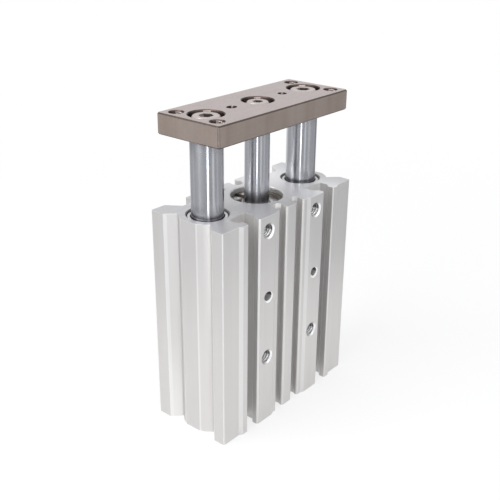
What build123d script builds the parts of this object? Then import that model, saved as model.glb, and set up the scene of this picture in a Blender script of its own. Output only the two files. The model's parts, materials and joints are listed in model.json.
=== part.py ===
from build123d import *
import os
from math import sqrt

# A compact guided pneumatic cylinder: a piston rod between two guide rods that slide in bushes,
# with a tooling plate across their ends.
# It stands on the lower end of its body. X runs along the row of rods, -Y is the face with the
# T-slots, and the rods come out towards +Z. They are shown part of the way out.

# Stroke
bore_diameter = 16.0
stroke = 40.0
stroke_shown = 18.0
retracted_gap = 6.0
stop_gap = 0.1

# Rods
piston_rod_diameter = 8.0
guide_rod_diameter = 10.0
guide_rod_end_recess = 0.5
rod_edge = 0.4

# Clearances
running_clearance = 0.05
seal_clearance = 0.03
seat_clearance = 0.02
thread_clearance = 0.02

# Covers, retaining rings and bumpers of the bore
cover_shoulder = 0.5
head_recess = 0.95
head_cover_thickness = 5.0
head_cover_pocket_diameter = 6.0
head_cover_pocket_depth = 1.5
rod_cover_length = 10.0
rod_cover_recess = 1.65
rod_cover_boss_wall = 0.4
rod_cover_boss_height = 0.5
bumper_thickness = 1.0
bumper_wall = 2.2
bumper_clearance = 0.55
bumper_edge = 0.2
o_ring_cord = 1.5
o_ring_groove_width = 2.0
o_ring_shoulder = 2.0
rod_seal_height = 2.5
rod_seal_wall = 2.1
rod_seal_cover_above = 1.5
ring_thickness = 1.0
ring_groove_depth = 0.6
ring_width = 1.8
ring_lug_reach = 2.8
ring_lug_radius = 1.5
ring_lug_hole_diameter = 2.0
ring_lug_spread = 45.0
rod_ring_direction = 102.0
head_ring_direction = -90.0

# Piston
piston_clearance = 0.15
piston_nose_diameter = 12.0
piston_nose_length = 2.0
piston_land = 0.9
piston_groove_depth = 1.6
piston_spigot_diameter = 6.0
piston_seal_length = 2.0
magnet_length = 2.4
magnet_recess = 0.25
piston_screw_diameter = 4.0
piston_screw_head_diameter = 7.0
piston_screw_head_height = 2.0
piston_screw_socket = 2.5
piston_screw_length = 12.0
piston_screw_recess = 0.4

# Guide bearings
guide_bush_wall = 1.5
guide_bush_length = 9.5
guide_engagement = 1.5
guide_bore_clearance = 0.5
wiper_felt_length = 2.4
wiper_holder_length = 1.4
wiper_holder_recess = 0.6
wiper_holder_clearance = 0.35

# Walls of the body
bolt_clearance_diameter = 4.3
bore_to_bolt_wall = 1.85
bolt_to_guide_wall = 2.35
side_wall = 2.5
lobe_wall = 2.4
corner_flat = 5.0
side_notch_depth = 3.3
lobe_flat_depth = 0.5
body_corner_radius = 0.4
mouth_edge = 0.3

# Slots of the body
t_slot_mouth = 5.0
t_slot_cavity = 7.7
t_slot_depth = 6.7
t_slot_floor_drop = 1.0
t_slot_floor_radius = 0.8
t_slot_lip = 2.1
t_slot_mouth_edge = 0.5
t_slot_lip_edge = 0.3
t_slot_floor_wall = 1.8
thread_to_slot_wall = 0.55
lip_land = 2.3
bevel_run = 1.3
corner_step = 0.8
pad_overhang = 3.0
centre_step = 0.55
centre_rib_width = 5.1
sensor_slot_mouth = 3.3
sensor_slot_bore = 4.2
sensor_slot_lip = 1.0
sensor_slot_edge_share = 0.8
back_groove_wall = 1.0
back_groove_width = 9.4
back_groove_depth = 4.7
back_groove_slope = 3.3

# Mounting holes and ports of the body
mount_pitch_z = 44.0
mount_top_edge = 5.0
mount_thread_diameter = 5.0
mount_counterbore_diameter = 8.0
mount_counterbore_depth = 4.5
thread_mouth_edge = 0.5
tapping_diameter = 4.2
dowel_diameter = 3.0
dowel_slot_length = 3.5
dowel_depth = 6.0
end_hole_pitch_y = 19.0
end_hole_depth = 6.0
port_depth = 5.5
port_passage_diameter = 3.8
port_passage_bite = 0.6
port_edge_distance = 2.0

# Tooling plate and its screws
plate_end_wall = 2.65
plate_width = 24.5
plate_thickness = 6.5
plate_edge = 0.4
plate_corner_radius = 1.0
plate_hole_to_end = 4.0
plate_hole_pitch_y = 16.0
screw_recess = 0.4
screw_hole_clearance = 0.25
screw_edge = 0.35
guide_counterbore_diameter = 10.7
guide_screw_diameter = 5.0
guide_screw_head_diameter = 8.5
guide_screw_head_height = 3.5
guide_screw_socket = 4.0
guide_screw_socket_depth = 2.2
guide_screw_length = 14.0
centre_counterbore_diameter = 10.0
centre_screw_diameter = 4.0
centre_screw_head_diameter = 7.0
centre_screw_head_height = 3.2
centre_screw_socket = 3.0
centre_screw_socket_depth = 1.8
centre_screw_length = 12.0

# Cuts run this far past the faces that they open, and corners are found to this tolerance.
overrun = 1.0
tolerance = 1e-6

# Heights of the bore, from the lower end up
bore_radius = bore_diameter / 2
cover_radius = bore_radius + cover_shoulder
ring_groove_radius = cover_radius + ring_groove_depth
ring_slot = ring_thickness + running_clearance
head_ring_z = head_recess
head_cover_z = head_ring_z + ring_slot
chamber_floor_z = head_cover_z + head_cover_thickness
piston_length = 2 * piston_nose_length + 3 * piston_land + magnet_length + piston_seal_length
piston_home_z = chamber_floor_z + bumper_thickness + stop_gap
chamber_top_z = piston_home_z + stroke + piston_length + stop_gap + bumper_thickness
rod_ring_z = chamber_top_z + rod_cover_length
body_length = rod_ring_z + ring_slot + rod_cover_recess
piston_z = piston_home_z + stroke_shown
plate_z = body_length + retracted_gap + stroke_shown
plate_top_z = plate_z + plate_thickness

# Heights of the guide bores
guide_radius = guide_rod_diameter / 2
guide_seat_radius = guide_radius + guide_bush_wall
guide_seat_floor_z = guide_rod_end_recess + stroke + guide_engagement
guide_rod_z = guide_rod_end_recess + stroke_shown
wiper_holder_z = body_length - wiper_holder_recess - wiper_holder_length
wiper_felt_z = wiper_holder_z - wiper_felt_length
upper_bush_z = wiper_felt_z - guide_bush_length

# Places across the body and the plate
mount_x = bore_radius + bore_to_bolt_wall + bolt_clearance_diameter / 2
guide_x = mount_x + bolt_clearance_diameter / 2 + bolt_to_guide_wall + guide_seat_radius
half_width = guide_x + guide_seat_radius + side_wall
lobe_radius = guide_seat_radius + lobe_wall
half_thickness = guide_seat_radius + t_slot_floor_wall + t_slot_depth
t_slot_x = mount_x + mount_thread_diameter / 2 + thread_to_slot_wall + t_slot_cavity / 2
lip_edge_x = t_slot_x + t_slot_mouth / 2 + lip_land
pad_edge_x = mount_x - pad_overhang
sensor_slot_x = centre_rib_width / 2 + sensor_slot_mouth / 2
back_groove_x = mount_x + mount_counterbore_diameter / 2 + back_groove_wall
mount_middle_z = body_length - mount_top_edge - mount_pitch_z / 2
port_x = bore_radius + port_passage_diameter / 2 - port_passage_bite
lower_port_z = chamber_floor_z + port_edge_distance
upper_port_z = chamber_top_z - port_edge_distance
plate_length = 2 * (guide_x + guide_counterbore_diameter / 2 + plate_end_wall)
plate_hole_pitch_x = plate_length - 2 * plate_hole_to_end

front_face = Plane(origin=(0, -half_thickness, 0), x_dir=(1, 0, 0), z_dir=(0, -1, 0))
back_face = Plane(origin=(0, half_thickness, 0), x_dir=(-1, 0, 0), z_dir=(0, 1, 0))
lower_end = Plane(origin=(0, 0, 0), x_dir=(1, 0, 0), z_dir=(0, 0, -1))


def sensor_slot(face_y, inward):
    """A round groove behind two lips, cut into the face at face_y."""
    centre_depth = sensor_slot_lip + sqrt(sensor_slot_bore**2 - sensor_slot_mouth**2) / 2
    centre_y = face_y + inward * centre_depth
    mouth_y = face_y - inward * overrun
    with Locations((sensor_slot_x, centre_y)):
        Circle(sensor_slot_bore / 2)
    with Locations((sensor_slot_x, (mouth_y + centre_y) / 2)):
        Rectangle(sensor_slot_mouth, abs(mouth_y - centre_y))


def turned_piece(profile, x=0.0):
    """A ring or rod turned about an upright axis through x, from radius and height pairs."""
    with BuildPart() as piece:
        with BuildSketch(Plane.XZ):
            with BuildLine():
                Polyline(*[(x + radius, height) for radius, height in profile], close=True)
            make_face()
        revolve(axis=Axis((x, 0, 0), (0, 0, 1)))
    return piece


def sleeve(x, z, bore, outer, length, edge):
    """A plain ring with its outer edges broken."""
    profile = [
        (bore, z),
        (outer - edge, z),
        (outer, z + edge),
        (outer, z + length - edge),
        (outer - edge, z + length),
        (bore, z + length),
    ]
    return turned_piece(profile, x)


def o_ring(z):
    """A static seal round one of the bore's covers, centred on height z."""
    with BuildPart() as seal:
        with BuildSketch(Plane.XZ):
            with Locations((cover_radius - seat_clearance - o_ring_cord / 2, z)):
                Circle(o_ring_cord / 2)
        revolve(axis=Axis.Z)
    return seal


def retaining_ring(z, direction):
    """An internal spring ring, open towards the given direction between two lugs with holes."""
    outer = ring_groove_radius - running_clearance
    lug_circle = ring_groove_radius - ring_lug_reach
    lug_root = outer - ring_width / 2
    first_lug = direction - ring_lug_spread / 2
    with BuildPart() as ring:
        with BuildSketch(Plane.XY.offset(z)):
            Circle(outer)
            Circle(outer - ring_width, mode=Mode.SUBTRACT)
            with PolarLocations(outer, 1, start_angle=direction):
                Rectangle(outer, 2 * ring_lug_radius, mode=Mode.SUBTRACT)
            with PolarLocations((lug_circle + lug_root) / 2, 2, first_lug, 2 * ring_lug_spread):
                Rectangle(lug_root - lug_circle, 2 * ring_lug_radius)
            with PolarLocations(lug_circle, 2, first_lug, 2 * ring_lug_spread):
                Circle(ring_lug_radius)
            with PolarLocations(lug_circle, 2, first_lug, 2 * ring_lug_spread):
                Circle(ring_lug_hole_diameter / 2, mode=Mode.SUBTRACT)
        extrude(amount=ring_thickness)
    return ring


def socket_screws(places, seat_z, way, head, height, shank, length, socket, socket_depth):
    """Low-head cap screws at x places. way is 1 with the heads above seat_z and -1 below it."""
    profile = [
        (0, -length),
        (shank / 2 - screw_edge, -length),
        (shank / 2, screw_edge - length),
        (shank / 2, 0),
        (head / 2, 0),
        (head / 2, height - screw_edge),
        (head / 2 - screw_edge, height),
        (0, height),
    ]
    with BuildPart() as screws:
        for x in places:
            with BuildSketch(Plane.XZ):
                with BuildLine():
                    Polyline(*[(x + radius, seat_z + way * z) for radius, z in profile], close=True)
                make_face()
            revolve(axis=Axis((x, 0, 0), (0, 0, 1)))
            with BuildSketch(Plane.XY.offset(seat_z + way * height)):
                with Locations((x, 0)):
                    RegularPolygon(socket / 2, 6, major_radius=False)
            extrude(amount=-way * socket_depth, mode=Mode.SUBTRACT)
    return screws


# The grooves of the body's right half. The left half has the same ones mirrored.
with BuildSketch() as right_grooves:
    # The side: a notch between each corner rib and the round wall of the guide bore
    with BuildLine():
        Polyline(
            (half_width + overrun, half_thickness - corner_flat),
            (half_width, half_thickness - corner_flat),
            (half_width - side_notch_depth, half_thickness - corner_flat - side_notch_depth),
            (half_width - side_notch_depth, -half_thickness + corner_flat + side_notch_depth),
            (half_width, -half_thickness + corner_flat),
            (half_width + overrun, -half_thickness + corner_flat),
            close=True,
        )
    make_face()
    with Locations((guide_x, 0)):
        Circle(lobe_radius, mode=Mode.SUBTRACT)
    # A narrow flat down the middle of the round wall
    flat_x = guide_x + lobe_radius - lobe_flat_depth
    with Locations(((flat_x + half_width + overrun) / 2, 0)):
        Rectangle(half_width + overrun - flat_x, lobe_radius)
    # The front corner stands a step behind the lip of the T-slot.
    with BuildLine():
        Polyline(
            (lip_edge_x, -half_thickness),
            (lip_edge_x + bevel_run, -half_thickness + corner_step),
            (half_width + overrun, -half_thickness + corner_step),
            (half_width + overrun, -half_thickness - overrun),
            (lip_edge_x, -half_thickness - overrun),
            close=True,
        )
    make_face()
    # The T-slot. Its lips thicken towards its walls, and its floor drops away from the guide bore.
    lip_run = (t_slot_cavity - t_slot_mouth) / 2
    with BuildLine():
        Polyline(
            (t_slot_x - t_slot_mouth / 2 - t_slot_mouth_edge, -half_thickness - overrun),
            (t_slot_x - t_slot_mouth / 2 - t_slot_mouth_edge, -half_thickness),
            (t_slot_x - t_slot_mouth / 2, -half_thickness + t_slot_mouth_edge),
            (t_slot_x - t_slot_mouth / 2, -half_thickness + t_slot_lip),
            (t_slot_x - t_slot_cavity / 2, -half_thickness + t_slot_lip + lip_run),
            (t_slot_x - t_slot_cavity / 2, -half_thickness + t_slot_depth + t_slot_floor_drop),
            (t_slot_x + t_slot_cavity / 2, -half_thickness + t_slot_depth),
            (t_slot_x + t_slot_cavity / 2, -half_thickness + t_slot_lip + lip_run),
            (t_slot_x + t_slot_mouth / 2, -half_thickness + t_slot_lip),
            (t_slot_x + t_slot_mouth / 2, -half_thickness + t_slot_lip_edge),
            (t_slot_x + t_slot_mouth / 2 + t_slot_lip_edge, -half_thickness),
            (t_slot_x + t_slot_mouth / 2 + t_slot_lip_edge, -half_thickness - overrun),
            close=True,
        )
    make_face()
    # The middle of the front face, a step behind the mounting pad
    with BuildLine():
        Polyline(
            (-overrun, -half_thickness - overrun),
            (-overrun, -half_thickness + centre_step),
            (pad_edge_x - bevel_run, -half_thickness + centre_step),
            (pad_edge_x, -half_thickness),
            (pad_edge_x, -half_thickness - overrun),
            close=True,
        )
    make_face()
    sensor_slot(-half_thickness + centre_step, 1)
    # The back has a wide groove with one sloping side, and its centre rib is a step lower.
    with BuildLine():
        Polyline(
            (back_groove_x, half_thickness + overrun),
            (back_groove_x, half_thickness - back_groove_depth),
            (back_groove_x + back_groove_width - back_groove_slope, half_thickness - back_groove_depth),
            (back_groove_x + back_groove_width, half_thickness),
            (back_groove_x + back_groove_width, half_thickness + overrun),
            close=True,
        )
    make_face()
    with Locations(((sensor_slot_x - overrun) / 2, half_thickness + (overrun - centre_step) / 2)):
        Rectangle(sensor_slot_x + overrun, overrun + centre_step)
    sensor_slot(half_thickness - centre_step, -1)

with BuildSketch() as body_section:
    Rectangle(2 * half_width, 2 * half_thickness)
    add(right_grooves.sketch, mode=Mode.SUBTRACT)
    mirror(right_grooves.sketch, about=Plane.YZ, mode=Mode.SUBTRACT)
    slot_edges = body_section.vertices().filter_by(
        lambda corner: abs(abs(corner.X) - sensor_slot_x) < sensor_slot_mouth / 2 + tolerance
        and abs(corner.Y) > half_thickness - centre_step - tolerance
    )
    fillet(slot_edges, radius=sensor_slot_edge_share * sensor_slot_lip)
    floor_corners = body_section.vertices().filter_by(
        lambda corner: abs(abs(abs(corner.X) - t_slot_x) - t_slot_cavity / 2) < tolerance
        and t_slot_depth - tolerance < corner.Y + half_thickness < half_thickness
    )
    fillet(floor_corners, radius=t_slot_floor_radius)
    outer_corners = body_section.vertices().filter_by(
        lambda corner: abs(corner.X) > half_width - tolerance
    )
    fillet(outer_corners, radius=body_corner_radius)

with BuildPart() as cylinder_body:
    extrude(body_section.sketch, amount=body_length)
    # The stepped bore, with a seat and a ring groove for the cover at each end
    with BuildSketch(Plane.XZ):
        with BuildLine():
            Polyline(
                (0, -overrun),
                (cover_radius + mouth_edge + overrun, -overrun),
                (cover_radius, mouth_edge),
                (cover_radius, head_ring_z),
                (ring_groove_radius, head_ring_z),
                (ring_groove_radius, head_ring_z + ring_slot),
                (cover_radius, head_ring_z + ring_slot),
                (cover_radius, chamber_floor_z),
                (bore_radius, chamber_floor_z),
                (bore_radius, chamber_top_z),
                (cover_radius, chamber_top_z),
                (cover_radius, rod_ring_z),
                (ring_groove_radius, rod_ring_z),
                (ring_groove_radius, rod_ring_z + ring_slot),
                (cover_radius, rod_ring_z + ring_slot),
                (cover_radius, body_length - mouth_edge),
                (cover_radius + mouth_edge + overrun, body_length + overrun),
                (0, body_length + overrun),
                close=True,
            )
        make_face()
    revolve(axis=Axis.Z, mode=Mode.SUBTRACT)
    # The guide bores, wider above where the bushes sit
    guide_bore_radius = guide_radius + guide_bore_clearance
    for x in (-guide_x, guide_x):
        with BuildSketch(Plane.XZ):
            with BuildLine():
                Polyline(
                    (x, -overrun),
                    (x + guide_bore_radius + mouth_edge + overrun, -overrun),
                    (x + guide_bore_radius, mouth_edge),
                    (x + guide_bore_radius, guide_seat_floor_z),
                    (x + guide_seat_radius, guide_seat_floor_z),
                    (x + guide_seat_radius, body_length - mouth_edge),
                    (x + guide_seat_radius + mouth_edge + overrun, body_length + overrun),
                    (x, body_length + overrun),
                    close=True,
                )
            make_face()
        revolve(axis=Axis((x, 0, 0), (0, 0, 1)), mode=Mode.SUBTRACT)
    # Mounting holes: counterbored from the back, threaded from the front
    with Locations(back_face):
        with Locations((0, mount_middle_z)):
            with GridLocations(2 * mount_x, mount_pitch_z, 2, 2):
                CounterBoreHole(
                    radius=bolt_clearance_diameter / 2,
                    counter_bore_radius=mount_counterbore_diameter / 2,
                    counter_bore_depth=mount_counterbore_depth,
                )
    front_mouths = cylinder_body.edges().filter_by(GeomType.CIRCLE).group_by(Axis.Y)[0]
    chamfer(front_mouths, length=thread_mouth_edge)
    # Two dowel holes in the front face, the left one slotted
    with BuildSketch(front_face):
        with Locations((mount_x, mount_middle_z)):
            Circle(dowel_diameter / 2)
        with Locations((-mount_x, mount_middle_z)):
            SlotOverall(dowel_slot_length, dowel_diameter)
    extrude(amount=-dowel_depth, mode=Mode.SUBTRACT)
    # Ports in the back face, with passages that break into the side of the bore
    with Locations(back_face):
        with Locations((-port_x, lower_port_z), (-port_x, upper_port_z)):
            CounterSinkHole(
                radius=tapping_diameter / 2,
                counter_sink_radius=tapping_diameter / 2 + thread_mouth_edge,
                depth=port_depth,
                counter_sink_angle=90,
            )
            Hole(radius=port_passage_diameter / 2, depth=half_thickness)
    # Threaded holes in the lower end
    with Locations(lower_end):
        with GridLocations(2 * mount_x, end_hole_pitch_y, 2, 2):
            CounterSinkHole(
                radius=tapping_diameter / 2,
                counter_sink_radius=tapping_diameter / 2 + thread_mouth_edge,
                depth=end_hole_depth,
                counter_sink_angle=90,
            )

# The rod cover guides the piston rod. A groove inside holds its seal.
cover_outer = cover_radius - seat_clearance
o_ring_floor = cover_radius - 2 * seat_clearance - o_ring_cord
rod_bore = piston_rod_diameter / 2 + running_clearance
boss_radius = rod_bore + rod_cover_boss_wall
rod_seal_top_z = rod_ring_z - rod_seal_cover_above
rod_seal_z = rod_seal_top_z - rod_seal_height
rod_seal_seat = piston_rod_diameter / 2 + rod_seal_wall
rod_o_ring_z = chamber_top_z + o_ring_shoulder + o_ring_groove_width / 2
rod_cover = turned_piece(
    [
        (rod_bore, chamber_top_z),
        (cover_outer, chamber_top_z),
        (cover_outer, rod_o_ring_z - o_ring_groove_width / 2),
        (o_ring_floor, rod_o_ring_z - o_ring_groove_width / 2),
        (o_ring_floor, rod_o_ring_z + o_ring_groove_width / 2),
        (cover_outer, rod_o_ring_z + o_ring_groove_width / 2),
        (cover_outer, rod_ring_z),
        (boss_radius, rod_ring_z),
        (boss_radius, rod_ring_z + rod_cover_boss_height - screw_edge),
        (boss_radius - screw_edge, rod_ring_z + rod_cover_boss_height),
        (rod_bore, rod_ring_z + rod_cover_boss_height),
        (rod_bore, rod_seal_top_z),
        (rod_seal_seat, rod_seal_top_z),
        (rod_seal_seat, rod_seal_z),
        (rod_bore, rod_seal_z),
    ]
)
rod_cover_o_ring = o_ring(rod_o_ring_z)
rod_seal_lip = piston_rod_diameter / 2 + seal_clearance
rod_seal = turned_piece(
    [
        (rod_seal_seat - seat_clearance, rod_seal_z + seat_clearance),
        (rod_seal_seat - seat_clearance, rod_seal_top_z - seat_clearance),
        (rod_bore + running_clearance, rod_seal_top_z - seat_clearance),
        (rod_seal_lip, rod_seal_top_z - rod_seal_height / 4),
        (rod_bore + running_clearance, rod_seal_top_z - rod_seal_height / 2),
        (rod_seal_lip, rod_seal_z + rod_seal_height / 4),
        (rod_bore + running_clearance, rod_seal_z + seat_clearance),
    ]
)
bumper_bore = rod_bore + bumper_clearance
rod_end_bumper = sleeve(
    0, chamber_top_z - bumper_thickness, bumper_bore,
    bumper_bore + bumper_wall, bumper_thickness, bumper_edge,
)
rod_end_retaining_ring = retaining_ring(rod_ring_z + running_clearance / 2, rod_ring_direction)

# The head cover closes the lower end of the bore.
head_o_ring_z = chamber_floor_z - o_ring_shoulder - o_ring_groove_width / 2
with BuildPart() as head_cover:
    with BuildSketch(Plane.XY.offset(head_cover_z)):
        Circle(cover_outer)
    extrude(amount=head_cover_thickness)
    with BuildSketch(Plane.XY.offset(head_o_ring_z - o_ring_groove_width / 2)):
        Circle(cover_outer + overrun)
        Circle(o_ring_floor, mode=Mode.SUBTRACT)
    extrude(amount=o_ring_groove_width, mode=Mode.SUBTRACT)
    with BuildSketch(Plane.XY.offset(head_cover_z)):
        Circle(head_cover_pocket_diameter / 2)
    extrude(amount=head_cover_pocket_depth, mode=Mode.SUBTRACT)
head_cover_o_ring = o_ring(head_o_ring_z)
head_end_bumper = sleeve(
    0, chamber_floor_z, piston_nose_diameter / 2 - bumper_wall,
    piston_nose_diameter / 2, bumper_thickness, bumper_edge,
)
head_end_retaining_ring = retaining_ring(head_ring_z + running_clearance / 2, head_ring_direction)

# Bushes, wiper felts and their holders in each guide bore
guide_pieces = {}
for side, x in (("left", -guide_x), ("right", guide_x)):
    outer = guide_seat_radius - seat_clearance
    bush_bore = guide_radius + running_clearance
    felt_bore = guide_radius + seal_clearance
    holder_bore = guide_radius + wiper_holder_clearance
    guide_pieces[f"lower_guide_bush_{side}"] = sleeve(
        x, guide_seat_floor_z, bush_bore, outer, guide_bush_length, screw_edge
    )
    guide_pieces[f"upper_guide_bush_{side}"] = sleeve(
        x, upper_bush_z, bush_bore, outer, guide_bush_length, screw_edge
    )
    guide_pieces[f"wiper_felt_{side}"] = sleeve(
        x, wiper_felt_z, felt_bore, outer, wiper_felt_length, screw_edge
    )
    guide_pieces[f"wiper_holder_{side}"] = sleeve(
        x, wiper_holder_z, holder_bore, outer, wiper_holder_length, screw_edge
    )

# The tooling plate, with counterbores over the rods, tapped corners and two dowel holes
with BuildPart() as tooling_plate:
    with BuildSketch(Plane.XY.offset(plate_z)):
        RectangleRounded(plate_length, plate_width, plate_corner_radius)
    extrude(amount=plate_thickness)
    chamfer(tooling_plate.faces().filter_by(Axis.Z).edges(), length=plate_edge)
    with Locations((-guide_x, 0, plate_top_z), (guide_x, 0, plate_top_z)):
        CounterBoreHole(
            radius=guide_screw_diameter / 2 + screw_hole_clearance,
            counter_bore_radius=guide_counterbore_diameter / 2,
            counter_bore_depth=guide_screw_head_height + screw_recess,
        )
    with Locations((0, 0, plate_top_z)):
        CounterBoreHole(
            radius=centre_screw_diameter / 2 + screw_hole_clearance,
            counter_bore_radius=centre_counterbore_diameter / 2,
            counter_bore_depth=centre_screw_head_height + screw_recess,
        )
    with Locations((0, 0, plate_top_z)):
        with GridLocations(plate_hole_pitch_x, plate_hole_pitch_y, 2, 2):
            Hole(radius=tapping_diameter / 2)
    top_arcs = tooling_plate.edges().filter_by(GeomType.CIRCLE).group_by(Axis.Z)[-1]
    chamfer(top_arcs.filter_by(lambda arc: arc.is_closed), length=mouth_edge)
    with BuildSketch(Plane.XY.offset(plate_z)):
        with Locations((mount_x, 0)):
            Circle(dowel_diameter / 2)
        with Locations((-mount_x, 0)):
            SlotOverall(dowel_slot_length, dowel_diameter)
    extrude(amount=plate_thickness, mode=Mode.SUBTRACT)

# Rods butt against the plate, and its screws thread into them.
guide_screw_seat_z = plate_top_z - screw_recess - guide_screw_head_height
guide_thread_radius = guide_screw_diameter / 2 + thread_clearance
guide_thread_floor_z = guide_screw_seat_z - guide_screw_length - running_clearance
guide_rod_profile = [
    (0, guide_rod_z),
    (guide_radius - rod_edge, guide_rod_z),
    (guide_radius, guide_rod_z + rod_edge),
    (guide_radius, plate_z - rod_edge),
    (guide_radius - rod_edge, plate_z),
    (guide_thread_radius, plate_z),
    (guide_thread_radius, guide_thread_floor_z),
    (0, guide_thread_floor_z),
]
guide_rod_left = turned_piece(guide_rod_profile, -guide_x)
guide_rod_right = turned_piece(guide_rod_profile, guide_x)

# The piston rod ends in a spigot that the piston sits on, held by a screw from below.
piston_counterbore_depth = piston_screw_head_height + piston_screw_recess
piston_seat_z = piston_z + piston_counterbore_depth
piston_top_z = piston_z + piston_length
spigot_z = piston_seat_z + stop_gap
spigot_radius = piston_spigot_diameter / 2
piston_thread_radius = piston_screw_diameter / 2 + thread_clearance
piston_thread_top_z = piston_seat_z + piston_screw_length + running_clearance
centre_screw_seat_z = plate_top_z - screw_recess - centre_screw_head_height
centre_thread_radius = centre_screw_diameter / 2 + thread_clearance
centre_thread_floor_z = centre_screw_seat_z - centre_screw_length - running_clearance
rod_radius = piston_rod_diameter / 2
piston_rod = turned_piece(
    [
        (piston_thread_radius, spigot_z),
        (spigot_radius, spigot_z),
        (spigot_radius, piston_top_z),
        (rod_radius, piston_top_z),
        (rod_radius, plate_z - rod_edge),
        (rod_radius - rod_edge, plate_z),
        (centre_thread_radius, plate_z),
        (centre_thread_radius, centre_thread_floor_z),
        (0, centre_thread_floor_z),
        (0, piston_thread_top_z),
        (piston_thread_radius, piston_thread_top_z),
    ]
)

piston_radius = bore_radius - piston_clearance
nose_radius = piston_nose_diameter / 2
groove_radius = piston_radius - piston_groove_depth
magnet_z = piston_z + piston_nose_length + piston_land
piston_seal_z = magnet_z + magnet_length + piston_land
upper_land_z = piston_seal_z + piston_seal_length
piston_bore = spigot_radius + seat_clearance
piston_counterbore = piston_screw_head_diameter / 2 + screw_hole_clearance
piston = turned_piece(
    [
        (piston_counterbore, piston_z),
        (nose_radius, piston_z),
        (nose_radius, magnet_z - piston_land),
        (piston_radius, magnet_z - piston_land),
        (piston_radius, magnet_z),
        (groove_radius, magnet_z),
        (groove_radius, magnet_z + magnet_length),
        (piston_radius, magnet_z + magnet_length),
        (piston_radius, piston_seal_z),
        (groove_radius, piston_seal_z),
        (groove_radius, upper_land_z),
        (piston_radius, upper_land_z),
        (piston_radius, upper_land_z + piston_land),
        (nose_radius, upper_land_z + piston_land),
        (nose_radius, piston_top_z),
        (piston_bore, piston_top_z),
        (piston_bore, piston_seat_z),
        (piston_counterbore, piston_seat_z),
    ]
)
magnet_ring = sleeve(
    0, magnet_z + seat_clearance, groove_radius + seat_clearance,
    piston_radius - magnet_recess, magnet_length - 2 * seat_clearance, magnet_recess,
)
piston_seal_lip = bore_radius - seal_clearance
piston_seal_heel = piston_radius - running_clearance
piston_seal = turned_piece(
    [
        (groove_radius + seat_clearance, piston_seal_z + seat_clearance),
        (piston_seal_heel, piston_seal_z + seat_clearance),
        (piston_seal_lip, piston_seal_z + piston_seal_length / 4),
        (piston_seal_heel, piston_seal_z + piston_seal_length / 2),
        (piston_seal_lip, piston_seal_z + piston_seal_length * 3 / 4),
        (piston_seal_heel, piston_seal_z + piston_seal_length - seat_clearance),
        (groove_radius + seat_clearance, piston_seal_z + piston_seal_length - seat_clearance),
    ]
)

# Screws: the piston's points up into the rod, and the plate's point down.
piston_screw = socket_screws(
    [0], piston_seat_z, -1, piston_screw_head_diameter, piston_screw_head_height,
    piston_screw_diameter, piston_screw_length, piston_screw_socket, piston_screw_head_height / 2,
)
piston_rod_screw = socket_screws(
    [0], centre_screw_seat_z, 1, centre_screw_head_diameter, centre_screw_head_height,
    centre_screw_diameter, centre_screw_length, centre_screw_socket, centre_screw_socket_depth,
)
guide_rod_screws = socket_screws(
    [-guide_x, guide_x], guide_screw_seat_z, 1, guide_screw_head_diameter, guide_screw_head_height,
    guide_screw_diameter, guide_screw_length, guide_screw_socket, guide_screw_socket_depth,
)

pieces = {
    "cylinder_body": cylinder_body,
    "rod_cover": rod_cover,
    "rod_seal": rod_seal,
    "rod_cover_o_ring": rod_cover_o_ring,
    "rod_end_retaining_ring": rod_end_retaining_ring,
    "rod_end_bumper": rod_end_bumper,
    "head_cover": head_cover,
    "head_cover_o_ring": head_cover_o_ring,
    "head_end_retaining_ring": head_end_retaining_ring,
    "head_end_bumper": head_end_bumper,
    **guide_pieces,
    "tooling_plate": tooling_plate,
    "piston_rod": piston_rod,
    "guide_rod_left": guide_rod_left,
    "guide_rod_right": guide_rod_right,
    "guide_rod_screws": guide_rod_screws,
    "piston_rod_screw": piston_rod_screw,
    "piston": piston,
    "piston_seal": piston_seal,
    "magnet_ring": magnet_ring,
    "piston_screw": piston_screw,
}
os.makedirs("parts", exist_ok=True)
for node_name, piece in pieces.items():
    piece.part.label = node_name
    export_step(piece.part, f"parts/{node_name}.step")
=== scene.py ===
import json
import math

import bmesh
import bpy
from mathutils import Matrix, Vector


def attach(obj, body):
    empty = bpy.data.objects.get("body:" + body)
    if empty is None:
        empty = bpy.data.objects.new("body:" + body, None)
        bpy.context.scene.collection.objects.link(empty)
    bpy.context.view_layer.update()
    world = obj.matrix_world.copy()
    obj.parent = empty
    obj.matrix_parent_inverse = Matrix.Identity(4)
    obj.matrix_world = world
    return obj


# A compact guided pneumatic cylinder in satin anodised aluminium: three chromed rods carry a nickel-plated
# tooling plate. The solids come from the frame. This script gives them their finishes, adds the threads that
# show in the holes, and sets up the floor, the lights and the camera.

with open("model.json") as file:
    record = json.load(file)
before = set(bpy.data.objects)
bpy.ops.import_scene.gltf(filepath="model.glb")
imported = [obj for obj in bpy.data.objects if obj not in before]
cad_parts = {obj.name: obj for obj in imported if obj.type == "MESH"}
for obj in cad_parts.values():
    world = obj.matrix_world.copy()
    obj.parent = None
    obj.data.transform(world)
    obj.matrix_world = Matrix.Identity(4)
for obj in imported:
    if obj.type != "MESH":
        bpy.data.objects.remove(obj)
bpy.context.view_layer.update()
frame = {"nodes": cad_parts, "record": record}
nodes = frame["nodes"]
mounts = {mount["name"]: mount for mount in frame["record"]["mounts"]}

MM = 0.001

# Places on the object at rest that its finishes follow, in millimetres from its middle and its lower end
BODY_HEIGHT = 73
BODY_HALF_WIDTH = 32
BODY_HALF_DEPTH = 15
T_SLOT_X, T_SLOT_Y = 18.9, -10.2
SENSOR_SLOT_EDGES = [(-2.6, -10.9), (5.8, -10.8)]
CORNER_SLOPE_Y = 8.4
GUIDE_X = 23.0
LOBE_RADIUS = 9
WIPER_GAP_RADIUS = 6.68
PLATE_UNDERSIDE = 97
PLATE_HALF_LENGTH = 31
PLATE_HALF_WIDTH = 12.25
SCREW_TOP = 103.1
SOCKET_RADIUS = 2.4

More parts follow.
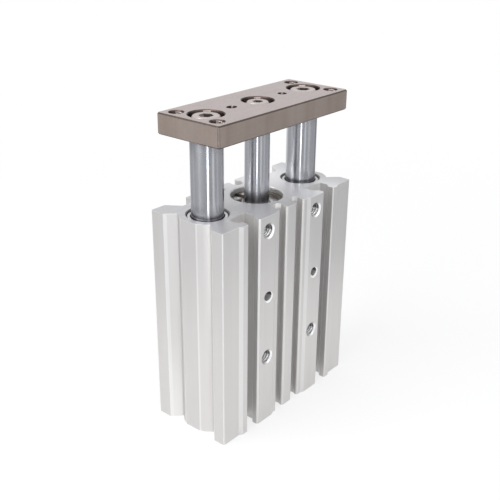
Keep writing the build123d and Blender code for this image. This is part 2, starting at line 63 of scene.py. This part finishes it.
# The holes of the front face stand in two columns: one row of dowel holes between two rows of threads
FRONT_HOLE_X = 12
ROW_STEP = 22
DOWEL_ROW = 46
THREAD_ROWS = (DOWEL_ROW - ROW_STEP, DOWEL_ROW + ROW_STEP)
DOWEL_HOLE_REACH = 1.8
THREADED_HOLE_REACH = 2.8

# The holes in the lugs of the two retaining rings
LUG_CIRCLE_RADIUS = 6.3
LUG_HOLE_RADIUS = 1.02
LUG_HOLES = [
    (LUG_CIRCLE_RADIUS * math.cos(math.radians(turn)), LUG_CIRCLE_RADIUS * math.sin(math.radians(turn)))
    for turn in (124.5, 79.5, -67.5, -112.5)
]

# Internal threads, as closed ridges that stand in the holes from just behind their mouths
THREAD_PITCH = 0.8
THREAD_HEIGHT = 0.36
THREAD_ROOT_SINK = 0.06
STEPS_PER_TURN = 40

# The studio, with angles in degrees and distances in metres
FLOOR_GLOW = 0.75
FLOOR_HALF_SIZE = 3
FLOOR_DROP = 0.00002
ROOM_LIGHT = 0.6
LAMPS_LOOK_AT = Vector((0, 0, 0.05))
CARD_DISTANCE = 0.12
CARD_FOOT = 0.0005
CARD_TOP = 0.105
CARD_STEP = 4
# Where each card starts, round from the camera, and how bright it is
CARDS = [
    (-180, 0.86), (-140, 0.54), (-98, 0.63), (-80, 0.5), (-54, 0.63), (-40, 0.54), (-24, 0.5), (4.5, 0.46),
    (28, 0.84), (42, 0.46), (60, 0.63), (76, 0.5), (125, 0.33), (150, 0.65),
]
# Start, end, brightness, distance and top of the narrow card behind the rods' highlights
BRIGHT_CARD = (-3.5, 4.5, 4.0, 0.118, 0.2)

# The photograph's camera: its angles in degrees, its place in millimetres, its lens and image in pixels
CAMERA_AZIMUTH = -49.819
CAMERA_ELEVATION = 23.804
CAMERA_ROLL = 0.429
CAMERA_DISTANCE = 265.419
CAMERA_HEIGHT = 53.439
CAMERA_TO_RIGHT = -2.007
FOCAL_PIXELS = 803.486
IMAGE_PIXELS = 500
SENSOR_WIDTH = 36


class Field:
    """A value or a colour over a surface: one socket, whose expressions add their Math nodes."""

    def __init__(self, shading, socket):
        self.shading = shading
        self.socket = socket

    def __getitem__(self, output):
        return Field(self.shading, self.socket.node.outputs[output])

    def math(self, operation, *terms):
        return self.shading.node("ShaderNodeMath", {"operation": operation}, dict(enumerate(terms)))

    def __add__(self, other):
        return self.math("ADD", self, other)

    def __sub__(self, other):
        return self.math("SUBTRACT", self, other)

    def __rsub__(self, other):
        return self.math("SUBTRACT", other, self)

    def __mul__(self, other):
        return self.math("MULTIPLY", self, other)

    def __pow__(self, other):
        return self.math("POWER", self, other)

    def __abs__(self):
        return self.math("ABSOLUTE", self)

    def __gt__(self, other):
        return self.math("GREATER_THAN", self, other)

    __radd__ = __add__
    __rmul__ = __mul__

    def below(self, limit):
        """1 where this value is less than the limit and 0 elsewhere."""
        return self.math("LESS_THAN", self, limit)

    def within(self, reach):
        """1 where this value is closer to 0 than reach and 0 elsewhere."""
        return abs(self).below(reach)

    def rise(self, start, end):
        """0 below start and 1 above end, with a soft step between them."""
        inputs = {"Value": self, "From Min": start, "From Max": end}
        return self.shading.node("ShaderNodeMapRange", {"interpolation_type": "SMOOTHSTEP"}, inputs)

    def near(self, other, places, reach):
        """1 where this value and the other lie within reach of one of the places, and 0 elsewhere."""
        return sum(((self - a) ** 2 + (other - b) ** 2).below(reach ** 2) for a, b in places)

    def wave(self, length):
        """A sine of this value, one period to a length."""
        return self.math("SINE", self * (2 * math.pi / length))


class Shading:
    """The nodes of a new material or of the world."""

    def __init__(self, owner):
        owner.use_nodes = True
        self.tree = owner.node_tree
        self.tree.nodes.clear()

    def node(self, kind, settings=None, inputs=None):
        """Adds one node: its settings first, then the values or links of its sockets."""
        made = self.tree.nodes.new(kind)
        for name, value in (settings or {}).items():
            setattr(made, name, value)
        for name, value in (inputs or {}).items():
            if isinstance(value, Field):
                self.tree.links.new(value.socket, made.inputs[name])
            else:
                made.inputs[name].default_value = value
        return Field(self, made.outputs[0]) if made.outputs else None

    def scaled(self, vector, factors):
        return self.node("ShaderNodeVectorMath", {"operation": "MULTIPLY"}, {0: vector, 1: factors})

    def split(self, vector):
        """A vector's X, Y and Z as three values."""
        parts = self.node("ShaderNodeSeparateXYZ", inputs={0: vector})
        return parts["X"], parts["Y"], parts["Z"]

    def blend(self, mask, first, second):
        """The first colour where the mask is 0 and the second where it is 1."""
        settings = {"data_type": "RGBA", "clamp_factor": True}
        return self.node("ShaderNodeMix", settings, {0: mask, 6: first, 7: second})[2]

    def seen(self):
        """1 for the camera, straight or by way of polished metal, and 0 for light that falls on things."""
        ray = self.node("ShaderNodeLightPath")
        return ray["Is Camera Ray"] + ray["Is Glossy Ray"] + ray["Is Transmission Ray"]


class Finish(Shading):
    """A surface of the object. Places on it are in millimetres, in the part's own frame."""

    def __init__(self, name, **surface):
        self.material = bpy.data.materials.new(name)
        super().__init__(self.material)
        self.surface = self.node("ShaderNodeBsdfPrincipled", inputs=surface)
        self.node("ShaderNodeOutputMaterial", inputs={"Surface": self.surface})
        metres = self.node("ShaderNodeTexCoord")["Object"]
        self.place = self.scaled(metres, (1 / MM, 1 / MM, 1 / MM))

    def feed(self, **sockets):
        """Links fields to the shader's sockets, such as Base_Color."""
        shader = self.surface.socket.node
        for name, field in sockets.items():
            self.tree.links.new(field.socket, shader.inputs[name.replace("_", " ")])

    def axes(self):
        """The place as three values."""
        return self.split(self.place)

    def facing(self):
        """The surface's own direction as three values."""
        return self.split(self.node("ShaderNodeNewGeometry")["True Normal"])

    def speckle(self, sizes, detail=2.0, roughness=0.5):
        """Noise around 0.5 whose lumps have these sizes along X, Y and Z."""
        stretched = self.scaled(self.place, tuple(1 / size for size in sizes))
        inputs = {"Vector": stretched, "Scale": 1.0, "Detail": detail, "Roughness": roughness}
        return self.node("ShaderNodeTexNoise", {"normalize": True}, inputs)["Fac"]

    def bump(self, height, depth, below=None):
        """Relief from a height field, depth in millimetres, on top of another relief if there is one."""
        inputs = {"Height": height, "Distance": depth * MM, "Strength": 1.0}
        if below is not None:
            inputs["Normal"] = below
        return self.node("ShaderNodeBump", inputs=inputs)


def tone(red, green, blue):
    """A colour as read on a screen, from 0 to 255, in linear light."""
    return tuple(((value / 255 + 0.055) / 1.055) ** 2.4 for value in (red, green, blue)) + (1,)


WHITE = tone(255, 255, 255)


def towards_front_left(normal_x, normal_y):
    """How squarely an upright surface faces the front left, from -1 to 1."""
    return normal_x * -0.76 + normal_y * -0.65


def across_front_hole(x):
    """How far a place is to the right of the middle of the nearer column of front holes."""
    return x - FRONT_HOLE_X + 2 * FRONT_HOLE_X * x.below(0)


def painted_hole_light_and_shade(finish, x, z, upper, lower):
    """Painted light and shade on the cut metal in the front holes: a highlight at lower right, upper and
    lower tones.
    """
    height = z - THREAD_ROWS[0]
    for row in (DOWEL_ROW, THREAD_ROWS[1]):
        height = height - ROW_STEP * (z > row - ROW_STEP / 2)
    lit = across_front_hole(x).rise(-0.4, 0.8) * (1 - abs(height + 1.05).rise(0.5, 1.0))
    return finish.blend(lit, finish.blend(height.rise(-1.2, 0.2), lower, upper), WHITE)


def cut_thread():
    """The ridges of the front threads, freshly cut in the body's aluminium, with painted light and shade."""
    finish = Finish("freshly_cut_thread", Metallic=0.6, Roughness=0.25)
    x, _, z = finish.axes()
    colour = painted_hole_light_and_shade(finish, x, z, tone(150, 148, 148), tone(226, 225, 225))
    scuffs = finish.speckle((0.4, 0.4, 0.4), 3, 0.6)
    finish.feed(Base_Color=colour, Roughness=0.22 + scuffs * 0.1)
    return finish.material


def satin_anodised():
    """The extruded body: clear anodised sides with fine lines along the extrusion, and milled ends."""
    finish = Finish("satin_anodised_aluminium", Metallic=0.55, Roughness=0.4)
    x, y, z = finish.axes()
    normal_x, normal_y, normal_z = finish.facing()
    end = abs(normal_z) > 0.9
    side = 1 - end
    die_lines = finish.speckle((0.35, 0.35, 60), 3)
    broad_lines = finish.speckle((2.6, 2.6, 150), 2)
    cloud = finish.speckle((14, 14, 30), 2)
    grain = finish.speckle((0.22, 0.22, 0.3), 2, 0.6)
    shade = (die_lines - 0.5) * 0.15 + (broad_lines - 0.5) * 0.4 + (cloud - 0.5) * 0.22 + 0.5
    anodised = finish.blend(shade, tone(201, 199, 198), tone(223, 221, 219))
    milling = finish.speckle((18, 0.5, 5), 3)
    mottle = finish.speckle((0.6, 0.6, 0.6), 3, 0.7)
    milled = finish.blend(milling * 0.5 + mottle - 0.25, tone(176, 176, 179), tone(206, 206, 208))
    # The milled ends get a painted sheen towards the right and painted shade at the left.
    painted_sheen = x.rise(-10, 20) * (1 - x.rise(20, 31) * 0.75)
    milled = finish.blend(painted_sheen * 0.72, milled, tone(250, 250, 252))
    milled = finish.blend((1 - x.rise(-BODY_HALF_WIDTH, -18)) * 0.12, milled, tone(100, 100, 102))
    colour = finish.blend(end, anodised, milled)
    # Saw-cut rims are brighter, and corners that face the front left or the back right get painted light.
    past_end = abs(z - BODY_HEIGHT / 2) - BODY_HEIGHT / 2
    colour = finish.blend(past_end.rise(-0.22, -0.08) * side, colour, tone(232, 232, 232))
    core = abs(x).below(BODY_HALF_WIDTH - 0.8) * abs(y).below(BODY_HALF_DEPTH - 0.9)
    bevel_light = (normal_x * normal_y).rise(0.12, 0.34) * (1 - core) * abs(normal_z).below(0.1)
    colour = finish.blend(bevel_light * 0.35, colour, tone(244, 244, 244))
    # Painted glints on the upper edges of the round sensor slots in the front, the left one brighter.
    slot_glint = x.near(y, SENSOR_SLOT_EDGES, 0.9) * z.rise(BODY_HEIGHT - 1.6, BODY_HEIGHT - 0.8)
    colour = finish.blend(slot_glint * (1 - x.rise(0, 1) * 0.4), colour, WHITE)
    # Painted light where the walls deep in the front T-slots reflect one another, but not at the left one's
    # top.
    deep = (abs(x) - T_SLOT_X).within(3.95) * (y - T_SLOT_Y).within(2.8) * side
    colour = finish.blend(deep * (1 - z.rise(50, 72) * x.below(0)) * 0.4, colour, WHITE)
    # Painted shade in the gaps round the wiper holders.
    from_guide = ((abs(x) - GUIDE_X) ** 2 + y ** 2) ** 0.5
    gap = (from_guide - WIPER_GAP_RADIUS).within(0.26) * (z > BODY_HEIGHT - 1.2) * side
    colour = finish.blend(gap * 0.75, colour, tone(84, 83, 84))
    # Painted shade on the lobes round the guide bores towards the back corners.
    lobe = (from_guide - LOBE_RADIUS).within(0.35) * abs(y).below(8)
    colour = finish.blend((abs(normal_x) * normal_y).rise(0.3, 0.56) * lobe * 0.6, colour, tone(96, 94, 93))
    # Painted shade on faces that look straight out along X, and painted light on the slopes beside them low
    # down.
    colour = finish.blend(abs(normal_x).rise(0.94, 0.99) * 0.45, colour, tone(184, 182, 181))
    slope = (abs(normal_x * normal_y) - 0.5).within(0.02) * (abs(y) - CORNER_SLOPE_Y).within(1.7)
    colour = finish.blend(slope * (1 - lobe) * (1 - z.rise(0, 40)) * 0.6, colour, tone(244, 243, 242))
    # A painted highlight on the lower right of the dowel holes' mouths.
    dowel_mouth_highlight = across_front_hole(x).near(z, [(0.45, DOWEL_ROW - 0.5)], 1.9) * y.below(-BODY_HALF_DEPTH + 0.1)
    colour = finish.blend(dowel_mouth_highlight, colour, WHITE)
    # Painted light and shade on the front holes' walls, and painted light on their broken edges facing up and
    # left.
    threaded = abs(x).near(z, [(FRONT_HOLE_X, row) for row in THREAD_ROWS], THREADED_HOLE_REACH)
    front_hole = threaded + abs(x).near(z, [(FRONT_HOLE_X, DOWEL_ROW)], DOWEL_HOLE_REACH)
    drilled = front_hole * y.below(-8) * abs(normal_y).below(0.6)
    drilled_tone = painted_hole_light_and_shade(finish, x, z, tone(84, 82, 83), tone(205, 203, 203))
    colour = finish.blend(drilled * 0.85, colour, drilled_tone)
    edge = front_hole * y.below(-BODY_HALF_DEPTH + 0.6) * (abs(normal_y) - 0.7).within(0.1)
    lit = (normal_z * 0.5 - normal_x * 0.9).rise(-0.2, 0.62)
    colour = finish.blend(edge, colour, finish.blend(lit, tone(176, 175, 175), WHITE))
    roughness = 0.42 + (grain - 0.5) * 0.12 + (die_lines - 0.5) * 0.08 - end * 0.03
    relief = finish.bump(grain, 0.004, finish.bump(die_lines * side, 0.0035))
    finish.feed(Base_Color=colour, Roughness=roughness, Normal=relief)
    return finish.material


def nickel_plate():
    """The tooling plate: warm grey nickel over ground steel, with faint grinding lines along X."""
    finish = Finish("warm_nickel_plating", Metallic=0.85, Roughness=0.38)
    x, y, _ = finish.axes()
    normal_x, normal_y, normal_z = finish.facing()
    flat = abs(normal_z) > 0.9
    grinding = finish.speckle((22, 0.16, 0.16), 3)
    cloud = finish.speckle((7, 5, 4), 3, 0.55)
    bands = finish.speckle((5, 5, 60), 2)
    grain = finish.speckle((0.7, 0.7, 0.7), 3, 0.7)
    shade = (grinding - 0.5) * 0.8 + (cloud - 0.5) * 0.45 + (grain - 0.5) * 1.3 + 0.5
    top = finish.blend(shade, tone(143, 133, 131), tone(186, 174, 172))
    side = finish.blend(shade * 0.3 + bands * 1.1 - 0.2, tone(158, 141, 130), tone(188, 175, 168))
    colour = finish.blend(flat, side, top)
    # Painted shade on walls inside the counterbores and holes, and a painted highlight where they face the
    # front left.
    inside = (1 - flat) * abs(x).below(PLATE_HALF_LENGTH - 1.2) * abs(y).below(PLATE_HALF_WIDTH - 1.25)
    towards = towards_front_left(normal_x, normal_y)
    wall = finish.blend(towards.rise(0.2, 0.95) + (grain - 0.5) * 0.7, tone(42, 34, 32), tone(120, 104, 98))
    wall = finish.blend(towards.rise(0.965, 0.99), wall, tone(255, 246, 242))
    colour = finish.blend(inside, colour, wall)
    # Painted shade on the broken outer edges, which catch less light than the faces.
    slant = (abs(normal_z) - 0.7).within(0.12) * (1 - inside)
    corner = abs(normal_x * normal_y).rise(0.2, 0.45) * (1 - inside)
    colour = finish.blend(slant * 0.9 + corner * 0.5, colour, tone(70, 60, 54))
    roughness = 0.36 + (grain - 0.5) * 0.14 + (cloud - 0.5) * 0.1
    relief = finish.bump(grain, 0.004, finish.bump(grinding, 0.004))
    finish.feed(Base_Color=colour, Roughness=roughness, Normal=relief)
    return finish.material


def hard_chrome():
    """Ground and chromed rods: the fine grinding rings spread each reflection along the rod."""
    surface = {"Metallic": 1.0, "Roughness": 0.21, "Anisotropic": 0.93, "Anisotropic Rotation": 0.25}
    finish = Finish("hard_chrome", **surface)
    z = finish.axes()[2]
    normal_x, normal_y, _ = finish.facing()
    haze = finish.speckle((4, 4, 18), 3, 0.6)
    rings = finish.speckle((30, 30, 0.12), 2)
    colour = finish.blend(haze, tone(189, 190, 195), tone(208, 209, 213))
    # Just under the plate the rods get painted shade and are less clear.
    plate_shade = z.rise(PLATE_UNDERSIDE - 6, PLATE_UNDERSIDE - 1)
    colour = finish.blend(plate_shade * 0.5, colour, tone(150, 148, 154))
    # Close to the body the rods get a painted reflection of its dark openings, wherever the carriage stands.
    height = finish.split(finish.node("ShaderNodeNewGeometry")["Position"])[2] * (1 / MM)
    # The side that faces the front left keeps its highlight streak.
    streak_side = towards_front_left(normal_x, normal_y).rise(0.97, 0.995)
    painted_body_reflection = (1 - height.rise(BODY_HEIGHT - 0.5, BODY_HEIGHT + 5)) * (1 - streak_side)
    colour = finish.blend(painted_body_reflection * 0.6, colour, tone(96, 95, 102))
    roughness = 0.205 + (haze - 0.5) * 0.08 + (rings - 0.5) * 0.05 + plate_shade * 0.12
    finish.feed(Base_Color=colour, Roughness=roughness)
    return finish.material


def turned_metal(name, light, dark, roughness):
    """Lathe-turned metal: rings of tool marks round the upright axis in the middle."""
    finish = Finish(name, Metallic=0.95, Roughness=roughness)
    x, y, z = finish.axes()
    radius = (x ** 2 + y ** 2) ** 0.5
    marks = (radius + z).wave(0.16) * 0.5 + 0.5
    cloud = finish.speckle((1.6, 1.6, 1.6), 3, 0.6)
    colour = finish.blend(cloud * 0.7 + marks * 0.3, dark, light)
    rough = roughness + (cloud - 0.5) * 0.16
    finish.feed(Base_Color=colour, Roughness=rough, Normal=finish.bump(marks, 0.004))
    return finish.material


def steel_skin(finish, light, dark):
    """The fine mottle of pressed, plated or phosphated steel: its colour, its clouds and its grain."""
    cloud = finish.speckle((1.1, 1.1, 1.1), 3, 0.6)
    grain = finish.speckle((0.12, 0.12, 0.12), 2)
    return finish.blend(cloud * 0.7 + grain * 0.3, dark, light), cloud, grain


def feed_steel(finish, colour, grain, roughness, **others):
    """Feeds a steel skin to the shader, with its grain in the roughness and the relief."""
    rough = roughness + (grain - 0.5) * 0.2
    finish.feed(Base_Color=colour, Roughness=rough, Normal=finish.bump(grain, 0.006), **others)
    return finish.material


def rolled_steel(name, light, dark, roughness, metallic=0.9):
    """Pressed steel, bronze or cut metal with nothing more than its skin."""
    finish = Finish(name, Metallic=metallic, Roughness=roughness)
    colour, _, grain = steel_skin(finish, light, dark)
    return feed_steel(finish, colour, grain, roughness)


def spring_ring():
    """Phosphated spring steel, with a painted highlight on the walls of the punched holes in the lugs."""
    finish = Finish("phosphated_spring_steel", Metallic=0.75, Roughness=0.4)
    x, y, _ = finish.axes()
    normal_z = finish.facing()[2]
    colour, _, grain = steel_skin(finish, tone(134, 129, 120), tone(92, 87, 79))
    punched = x.near(y, LUG_HOLES, LUG_HOLE_RADIUS) * abs(normal_z).below(0.5)
    return feed_steel(finish, finish.blend(punched, colour, WHITE), grain, 0.4)


def socket_screw():
    """Nickelled screws. Their sockets get painted shade inside, with painted light on walls that face the
    front left.
    """
    finish = Finish("nickelled_screws", Metallic=0.9, Roughness=0.34)
    x, y, z = finish.axes()
    normal_x, normal_y, _ = finish.facing()
    colour, cloud, grain = steel_skin(finish, tone(200, 190, 187), tone(168, 158, 154))
    from_screw = abs(x) - GUIDE_X * (abs(x) > GUIDE_X / 2)
    radius = (from_screw ** 2 + y ** 2) ** 0.5
    in_head = (z > SCREW_TOP - 4.1) * (1 - z.rise(SCREW_TOP - 0.25, SCREW_TOP - 0.02))
    socket = radius.below(SOCKET_RADIUS) * in_head
    pale = (towards_front_left(normal_x, normal_y) - 0.64).within(0.2) * 0.8 + cloud * 0.2
    colour = finish.blend(socket, colour, finish.blend(pale, tone(44, 36, 34), tone(176, 160, 154)))
    return feed_steel(finish, colour, grain, 0.34, Metallic=0.9 - socket * 0.8)


def soft_ring(name, light, dark, roughness, lump, depth):
    """Rubber, felt or bonded powder: a matt skin with lumps of one size."""
    finish = Finish(name, Metallic=0.0, Roughness=roughness)
    lumps = finish.speckle((lump, lump, lump), 4, 0.65)
    colour = finish.blend(lumps, dark, light)
    rough = roughness + (lumps - 0.5) * 0.2
    finish.feed(Base_Color=colour, Roughness=rough, Normal=finish.bump(lumps, depth))
    return finish.material


finishes = {
    "body_aluminium": satin_anodised(),
    "cover_aluminium": turned_metal("turned_aluminium", tone(222, 222, 224), tone(196, 196, 199), 0.32),
    "plate_nickel": nickel_plate(),
    "rod_chrome": hard_chrome(),
    "screw_steel": socket_screw(),
    "ring_steel": spring_ring(),
    "holder_steel": rolled_steel("bright_pressed_steel", tone(212, 212, 214), tone(188, 188, 191), 0.3),
    "bush_bronze": rolled_steel("sintered_bronze", tone(196, 158, 104), tone(150, 112, 66), 0.5),
    "wiper_felt": soft_ring("oiled_felt", tone(150, 140, 122), tone(112, 102, 86), 0.9, 0.3, 0.05),
    "seal_rubber": soft_ring("black_rubber", tone(46, 46, 48), tone(30, 30, 32), 0.6, 0.25, 0.01),
    "bumper_rubber": soft_ring("amber_urethane", tone(196, 150, 74), tone(166, 118, 52), 0.45, 0.8, 0.01),
    "magnet": soft_ring("bonded_magnet", tone(78, 78, 82), tone(52, 52, 56), 0.6, 0.12, 0.01),
}
slot_of_node = {part["node"]: part["material_slot"] for part in frame["record"]["subparts"]}
for node_name, node in nodes.items():
    node.data.materials.clear()
    node.data.materials.append(finishes[slot_of_node[node_name]])


def new_piece(name, mesh, body, material):
    """A piece of the object's own that rides on one of its bodies."""
    piece = bpy.data.objects.new(name, mesh)
    bpy.context.scene.collection.objects.link(piece)
    mesh.materials.append(material)
    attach(piece, body)


def thread_ridge(mesh_name, places, outward, hole_radius, start, turns):
    """A right-hand ridge in each hole, start millimetres behind its mouth. Outward points out of it."""
    out = Vector(outward)
    across = out.orthogonal().normalized()
    up = out.cross(across)
    profile = [(THREAD_ROOT_SINK, 0.3), (-1.0, 0.05), (-1.0, -0.05), (THREAD_ROOT_SINK, -0.3)]
    ridge = bmesh.new()
    for place in places:
        last = None
        for step in range(int(turns * STEPS_PER_TURN) + 1):
            turn = step / STEPS_PER_TURN
            angle = 2 * math.pi * turn
            grown = min(1.0, 2 * turn, 2 * (turns - turn))
            ray = across * math.cos(angle) - up * math.sin(angle)
            section = []
            for rise, along in profile:
                height = rise if rise > 0 else rise * THREAD_HEIGHT * grown
                depth = start + THREAD_PITCH * (turn + along)
                section.append(ridge.verts.new((place + ray * (hole_radius + height) - out * depth) * MM))
            if last is None:
                ridge.faces.new(section)
            else:
                for one in range(len(profile)):
                    two = (one + 1) % len(profile)
                    ridge.faces.new((last[one], section[one], section[two], last[two]))
            last = section
        ridge.faces.new(reversed(last))
    bmesh.ops.recalc_face_normals(ridge, faces=ridge.faces)
    mesh = bpy.data.meshes.new(mesh_name)
    ridge.to_mesh(mesh)
    ridge.free()
    mesh.shade_smooth()
    return mesh


def pattern_places(mount):
    """The hole centres of a rectangular pattern, in millimetres, at its face."""
    centre = Vector(mount["pos_m"]) / MM
    sizes = mount["dims"]
    free = [Vector(axis) for axis in ((1, 0, 0), (0, 1, 0), (0, 0, 1)) if not Vector(axis).dot(mount["axis"])]
    return [
        centre + free[0] * (sizes["spacing_x_mm"] / 2 * a) + free[1] * (sizes["spacing_y_mm"] / 2 * b)
        for a in (-1, 1)
        for b in (-1, 1)
    ]


bright_cut = rolled_steel("freshly_cut_aluminium", WHITE, tone(240, 240, 241), 0.25, 0.6)
# Each set's name, its mount, how deep it starts, its turns, the body it rides on, a slot name, and the finish
# it takes
thread_sets = [
    ("front_thread_ridges", "front_threads", 0.75, 12, "cylinder", "body_aluminium", cut_thread()),
    ("end_thread_ridges", "end_threads", 0.75, 6, "cylinder", "body_aluminium", bright_cut),
    ("plate_thread_ridges", "plate_threads", 0.6, 6.4, "carriage", "plate_nickel", finishes["screw_steel"]),
]
for piece_name, mount_name, start, turns, body, slot, material in thread_sets:
    mount = mounts[mount_name]
    radius = mount["dims"]["hole_r_mm"]
    ridges = thread_ridge(piece_name, pattern_places(mount), mount["axis"], radius, start, turns)
    new_piece(piece_name, ridges, body, material)
ports = [mounts["lower_port"], mounts["upper_port"]]
port_mouths = [Vector((port["pos_m"][0] / MM, BODY_HALF_DEPTH, port["pos_m"][2] / MM)) for port in ports]
port_ridges = thread_ridge("port_thread_ridges", port_mouths, (0, 1, 0), ports[0]["dims"]["r_mm"], 0.75, 5)
new_piece("port_thread_ridges", port_ridges, "cylinder", bright_cut)


def studio_piece(name, corners, faces, material):
    """Something of the studio, which isn't part of the object."""
    mesh = bpy.data.meshes.new(name)
    mesh.from_pydata(corners, [], faces)
    mesh.materials.append(material)
    piece = bpy.data.objects.new(name, mesh)
    bpy.context.scene.collection.objects.link(piece)
    return piece


def set_up_floor():
    """A pale floor that carries the object's shadow and fades to white away from it."""
    material = bpy.data.materials.new("pale_floor")
    shading = Shading(material)
    x, y, _ = shading.split(shading.node("ShaderNodeTexCoord")["Object"])
    distance = (x ** 2 + y ** 2) ** 0.5
    white = shading.seen() * (FLOOR_GLOW + (1 - FLOOR_GLOW) * distance.rise(0.1, 0.35))
    lit = shading.node("ShaderNodeBsdfDiffuse", inputs={"Color": (0.88, 0.88, 0.88, 1)})
    glow = shading.node("ShaderNodeEmission", inputs={"Color": (1, 1, 1, 1), "Strength": 1.0})
    surface = shading.node("ShaderNodeMixShader", inputs={0: white, 1: lit, 2: glow})
    shading.node("ShaderNodeOutputMaterial", inputs={"Surface": surface})
    sides = ((-1, -1), (1, -1), (1, 1), (-1, 1))
    corners = [(FLOOR_HALF_SIZE * a, FLOOR_HALF_SIZE * b, -FLOOR_DROP) for a, b in sides]
    studio_piece("floor", corners, [(0, 1, 2, 3)], material)


def set_up_world():
    """White behind the object, and a pale grey room as light."""
    world = bpy.data.worlds.new("studio")
    bpy.context.scene.world = world
    shading = Shading(world)
    room = shading.node("ShaderNodeBackground", inputs={"Color": (0.97, 0.98, 1, 1), "Strength": ROOM_LIGHT})
    backdrop = shading.node("ShaderNodeBackground", inputs={"Color": (1, 1, 1, 1), "Strength": 1.0})
    choice = shading.node("ShaderNodeMixShader", inputs={0: shading.seen(), 1: room, 2: backdrop})
    shading.node("ShaderNodeOutputWorld", inputs={"Surface": choice})


def set_up_cards():
    """A low ring of grey cards round the object. They show only in its polished metal."""
    ends = [start for start, _ in CARDS[1:]] + [CARDS[0][0] + 360]
    cards = [(start, end, level, CARD_DISTANCE, CARD_TOP) for (start, level), end in zip(CARDS, ends)]
    cards.append(BRIGHT_CARD)
    for number, (start, end, level, distance, top) in enumerate(cards):
        material = bpy.data.materials.new(f"grey_card_{number}")
        shading = Shading(material)
        card = shading.node("ShaderNodeEmission", inputs={"Color": (0.96, 0.975, 1, 1), "Strength": level})
        shading.node("ShaderNodeOutputMaterial", inputs={"Surface": card})
        steps = max(1, round((end - start) / CARD_STEP))
        turns = [math.radians(CAMERA_AZIMUTH + start + (end - start) * i / steps) for i in range(steps + 1)]
        corners = [
            (distance * math.sin(turn), -distance * math.cos(turn), height)
            for height in (CARD_FOOT, top)
            for turn in turns
        ]
        above = steps + 1
        faces = [(i, i + 1, i + 1 + above, i + above) for i in range(steps)]
        piece = studio_piece(f"grey_card_{number}", corners, faces, material)
        piece.visible_camera = False
        piece.visible_diffuse = False
        piece.visible_shadow = False
        piece.visible_transmission = False


def direction(azimuth, elevation):
    """The direction from the object to something. Azimuth 0 is in front of it, on -Y, and 90 on +X."""
    a, e = math.radians(azimuth), math.radians(elevation)
    return Vector((math.sin(a) * math.cos(e), -math.cos(a) * math.cos(e), math.sin(e)))


def soft_box(name, azimuth, elevation, distance, size, power):
    """A square lamp that looks at the object."""
    lamp = bpy.data.lights.new(name, "AREA")
    lamp.shape = "SQUARE"
    lamp.size = size
    lamp.energy = power
    holder = bpy.data.objects.new(name, lamp)
    bpy.context.scene.collection.objects.link(holder)
    away = direction(azimuth, elevation)
    holder.location = LAMPS_LOOK_AT + away * distance
    holder.rotation_mode = "QUATERNION"
    holder.rotation_quaternion = away.to_track_quat("Z", "Y")


def set_up_camera():
    """The photograph's view: from the front left, a little above, turned a fraction about its own line."""
    back = direction(CAMERA_AZIMUTH, CAMERA_ELEVATION)
    azimuth, roll = math.radians(CAMERA_AZIMUTH), math.radians(CAMERA_ROLL)
    level = Vector((math.cos(azimuth), math.sin(azimuth), 0))
    upright = back.cross(level)
    right = level * math.cos(roll) + upright * math.sin(roll)
    up = upright * math.cos(roll) - level * math.sin(roll)
    place = (right * CAMERA_TO_RIGHT + Vector((0, 0, CAMERA_HEIGHT)) + back * CAMERA_DISTANCE) * MM
    camera = bpy.data.objects.new("camera", bpy.data.cameras.new("camera"))
    bpy.context.scene.collection.objects.link(camera)
    camera.data.sensor_width = SENSOR_WIDTH
    camera.data.lens = SENSOR_WIDTH * FOCAL_PIXELS / IMAGE_PIXELS
    camera.data.clip_start = 0.01
    camera.matrix_world = Matrix.Translation(place) @ Matrix((right, up, back)).transposed().to_4x4()
    bpy.context.scene.camera = camera


set_up_floor()
set_up_world()
set_up_cards()
soft_box("side_light", azimuth=-105, elevation=40, distance=0.7, size=0.6, power=4.4)
soft_box("front_light", azimuth=5, elevation=35, distance=0.8, size=0.5, power=1.3)
soft_box("top_light", azimuth=150, elevation=70, distance=0.7, size=0.6, power=0.8)
set_up_camera()

scene = bpy.context.scene
scene.view_settings.view_transform = "Standard"
